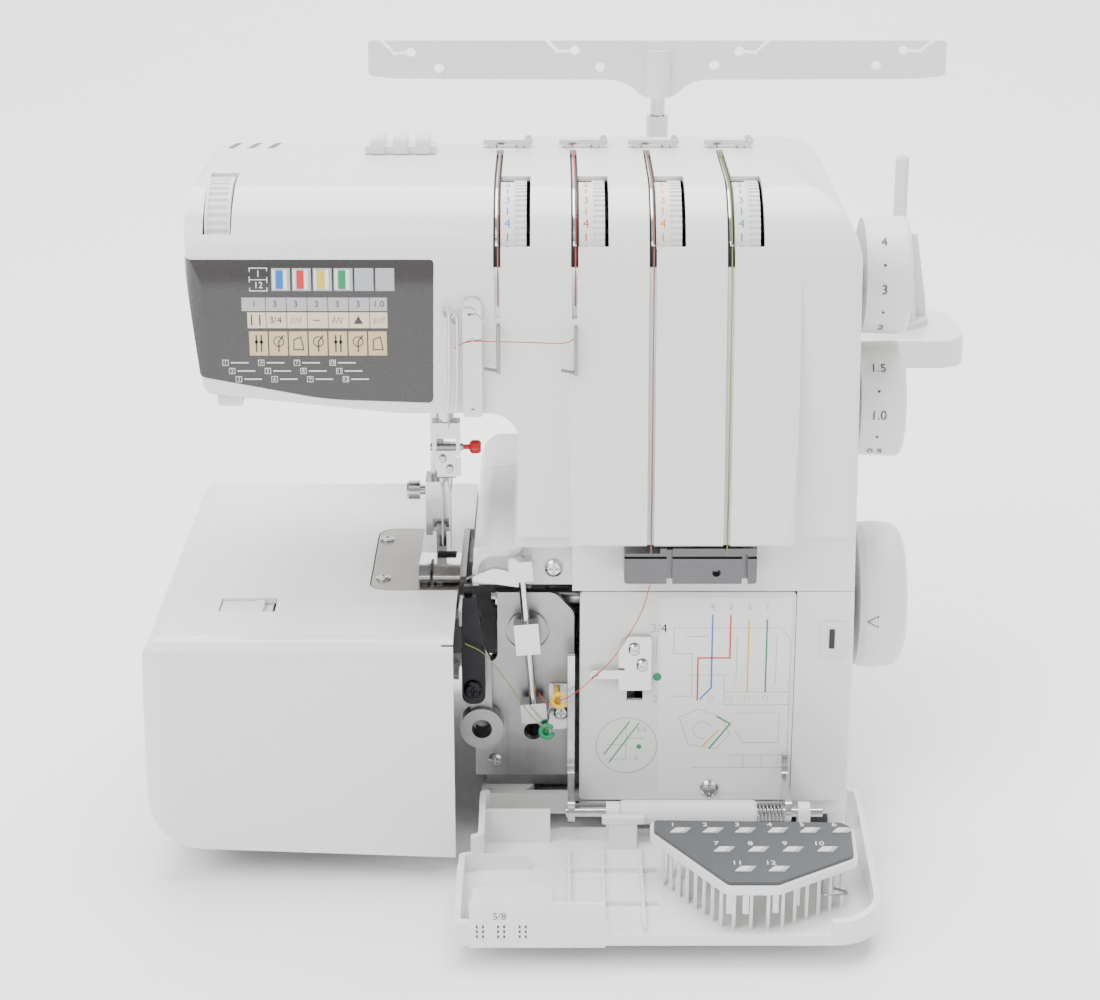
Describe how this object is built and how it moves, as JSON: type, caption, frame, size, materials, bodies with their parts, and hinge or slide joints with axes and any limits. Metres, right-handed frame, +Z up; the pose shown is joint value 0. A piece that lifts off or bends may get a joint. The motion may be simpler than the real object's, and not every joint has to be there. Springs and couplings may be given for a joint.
{
  "type": "serger overlock machine",
  "caption": "Household overlock sewing machine with free arm, slide-off bed extension, hinged looper cover, tension dials, handwheel and telescopic thread stand.",
  "frame": {"origin": "centre of the machine's box on the table plane, with the looper cover lying open and the antenna lowered", "axes": "+X to the machine's right (handwheel side), +Y to its back, +Z up"},
  "size_m": [0.3705, 0.3392, 0.3175],
  "materials": {
    "white_shell": "smooth, softly glossy moulded plastic",
    "white_matte": "fine moulded plastic",
    "panel_grey": "printed dark grey panel",
    "chart_grey": "printed dark grey plate",
    "black_rubber": "moulded rubber",
    "black_steel": "blackened steel",
    "cast_metal": "die-cast, machined where it bears",
    "plate_steel": "ground steel",
    "bright_steel": "plated",
    "dark_chrome": "dark plated",
    "spring_steel": "drawn",
    "brass_bush": "sintered",
    "red_knob": "moulded",
    "belt": "moulded",
    "black_plastic": "moulded",
    "lens": "clear"
  },
  "bodies": {
    "root": {"base_plate": "white_matte", "rubber_feet": "black_rubber", "frame_casting": "cast_metal", "rear_cover": "white_shell", "front_cover": "white_shell", "program_panel": "panel_grey", "takeup_cover": "bright_steel", "diagram_plate": "white_matte", "looper_plate": "plate_steel", "bushes": "brass_bush", "motor": "black_steel", "drive_belt": "belt", "power_inlet": "black_plastic", "sewing_lamp": "lens", "needle_plate": "plate_steel", "feed_dogs": "bright_steel", "lower_knife": "bright_steel", "return_spring": "spring_steel", "cover_hinge_rod": "bright_steel", "hinge_brackets": "bright_steel", "looper_thread_guide": "dark_chrome", "top_thread_guides": "bright_steel", "thread_hooks": "spring_steel", "cover_screws": "bright_steel", "spool_tray": "white_shell", "spool_pins": "white_matte", "cone_holders": "white_matte", "antenna_tube": "bright_steel"},
    "drive": {"handwheel": "white_matte", "main_shaft": "bright_steel", "main_pulley": "cast_metal"},
    "motor_drive": {"motor_pulley": "bright_steel"},
    "differential": {"differential_dial": "white_matte"},
    "stitch_length": {"stitch_length_dial": "white_matte"},
    "tension_1": {"tension_dial_1": "white_matte"},
    "tension_2": {"tension_dial_2": "white_matte"},
    "tension_3": {"tension_dial_3": "white_matte"},
    "tension_4": {"tension_dial_4": "white_matte"},
    "program": {"program_wheel": "white_matte"},
    "slider": {"top_slider": "white_matte"},
    "needle_carrier": {"needle_bar": "bright_steel"},
    "needle_head": {"needle_clamp": "bright_steel", "needles": "bright_steel", "clamp_knob": "red_knob"},
    "presser": {"presser_bar": "bright_steel", "presser_foot": "bright_steel"},
    "lift_lever": {"presser_lever": "white_matte"},
    "swivel": {"looper_swivel": "bright_steel"},
    "upper_loop": {"upper_looper": "bright_steel"},
    "lower_loop": {"lower_looper": "bright_steel"},
    "knife": {"upper_knife": "black_steel"},
    "bed": {"bed_extension": "white_shell"},
    "bed_catch": {"release_catch": "white_matte"},
    "cover_slide": {"hinge_sleeve": "white_matte"},
    "bay_cover": {"looper_cover": "white_shell", "chart_plate": "chart_grey"},
    "antenna": {"antenna_pole": "bright_steel"},
    "thread_bar": {"guide_bar": "white_shell"},
    "switch": {"power_switch": "black_plastic"},
    "thread_selector": {"guide_bracket": "bright_steel"}
  },
  "joints": [
    {"name": "main_turn", "type": "hinge", "parent": "root", "child": "drive", "pos_m": [0.04555, -0.0136, 0.097], "axis": [1, 0, 0], "continuous": true},
    {"name": "motor_turn", "type": "hinge", "parent": "root", "child": "motor_drive", "pos_m": [0.08555, 0.0484, 0.058], "axis": [1, 0, 0], "continuous": true},
    {"name": "differential_turn", "type": "hinge", "parent": "root", "child": "differential", "pos_m": [0.12555, -0.0136, 0.243], "axis": [1, 0, 0], "range_deg": [-70, 70]},
    {"name": "stitch_length_turn", "type": "hinge", "parent": "root", "child": "stitch_length", "pos_m": [0.12555, -0.0136, 0.1882], "axis": [1, 0, 0], "range_deg": [-70, 90]},
    {"name": "tension_1_turn", "type": "hinge", "parent": "root", "child": "tension_1", "pos_m": [0.00555, -0.03384, 0.26371], "axis": [1, 0, 0], "range_deg": [-75, 125]},
    {"name": "tension_2_turn", "type": "hinge", "parent": "root", "child": "tension_2", "pos_m": [0.00555, -0.03384, 0.26371], "axis": [1, 0, 0], "range_deg": [-75, 125]},
    {"name": "tension_3_turn", "type": "hinge", "parent": "root", "child": "tension_3", "pos_m": [0.00555, -0.03384, 0.26371], "axis": [1, 0, 0], "range_deg": [-75, 125]},
    {"name": "tension_4_turn", "type": "hinge", "parent": "root", "child": "tension_4", "pos_m": [0.00555, -0.03384, 0.26371], "axis": [1, 0, 0], "range_deg": [-75, 125]},
    {"name": "program_turn", "type": "hinge", "parent": "root", "child": "program", "pos_m": [-0.14945, -0.03172, 0.26478], "axis": [1, 0, 0], "continuous": true},
    {"name": "slider_shift", "type": "slide", "parent": "root", "child": "slider", "axis": [1, 0, 0], "range_m": [-0.0035, 0.0035]},
    {"name": "needle_stroke", "type": "slide", "parent": "root", "child": "needle_carrier", "axis": [0, 0, 1], "range_m": [-0.02, 0.006]},
    {"name": "clamp_swing", "type": "hinge", "parent": "needle_carrier", "child": "needle_head", "pos_m": [-0.05945, -0.0136, 0.166], "axis": [-1, 0, 0], "range_deg": [0, 60]},
    {"name": "presser_lift", "type": "slide", "parent": "root", "child": "presser", "axis": [0, 0, 1], "range_m": [0, 0.0055]},
    {"name": "lever_lift", "type": "hinge", "parent": "root", "child": "lift_lever", "pos_m": [-0.06545, 0.0314, 0.206], "axis": [1, 0, 0], "range_deg": [0, 22]},
    {"name": "swivel_rock", "type": "hinge", "parent": "root", "child": "swivel", "pos_m": [-0.02415, -0.0596, 0.096], "axis": [0, 1, 0], "range_deg": [-4, 4]},
    {"name": "upper_looper_stroke", "type": "slide", "parent": "swivel", "child": "upper_loop", "axis": [-0.0815, 0, 0.9967], "range_m": [-0.006, 0.006]},
    {"name": "lower_looper_rock", "type": "hinge", "parent": "root", "child": "lower_loop", "pos_m": [-0.04395, -0.0596, 0.0524], "axis": [0, 1, 0], "range_deg": [-6, 6]},
    {"name": "knife_rock", "type": "hinge", "parent": "root", "child": "knife", "pos_m": [-0.04745, -0.0656, 0.075], "axis": [0, 1, 0], "range_deg": [-3, 3]},
    {"name": "bed_slide", "type": "slide", "parent": "root", "child": "bed", "axis": [-1, 0, 0], "range_m": [0, 0.16]},
    {"name": "catch_slide", "type": "slide", "parent": "bed", "child": "bed_catch", "axis": [1, 0, 0], "range_m": [0, 0.003], "stiffness_N_per_m": 150},
    {"name": "cover_shift", "type": "slide", "parent": "root", "child": "cover_slide", "axis": [1, 0, 0], "range_m": [0, 0.006], "stiffness_N_per_m": 250, "deforming": ["return_spring"]},
    {"name": "cover_swing", "type": "hinge", "parent": "cover_slide", "child": "bay_cover", "pos_m": [0.04555, -0.0836, 0.0246], "axis": [-1, 0, 0], "range_deg": [0, 90]},
    {"name": "antenna_rise", "type": "slide", "parent": "root", "child": "antenna", "axis": [0, 0, 1], "range_m": [0, 0.095]},
    {"name": "bar_swivel", "type": "hinge", "parent": "antenna", "child": "thread_bar", "pos_m": [0.03675, 0.1364, 0.3], "axis": [0, 0, 1], "range_deg": [-90, 90]},
    {"name": "switch_rock", "type": "hinge", "parent": "root", "child": "switch", "pos_m": [0.11355, 0.0564, 0.0665], "axis": [0, 0, 1], "range_deg": [-5, 5]},
    {"name": "selector_slide", "type": "slide", "parent": "root", "child": "thread_selector", "axis": [0, 0, 1], "range_m": [-0.008, 0]}
  ],
  "couplings": [
    {"joint": "motor_turn", "follows": "main_turn", "ratio": 3.1111},
    {"joint": "lever_lift", "follows": "presser_lift", "rad_per_m": 69.8},
    {"joint": "upper_looper_stroke", "follows": "needle_stroke", "ratio": -0.25},
    {"joint": "swivel_rock", "follows": "needle_stroke", "rad_per_m": 3},
    {"joint": "lower_looper_rock", "follows": "needle_stroke", "rad_per_m": 5},
    {"joint": "knife_rock", "follows": "needle_stroke", "rad_per_m": -2.4}
  ]
}
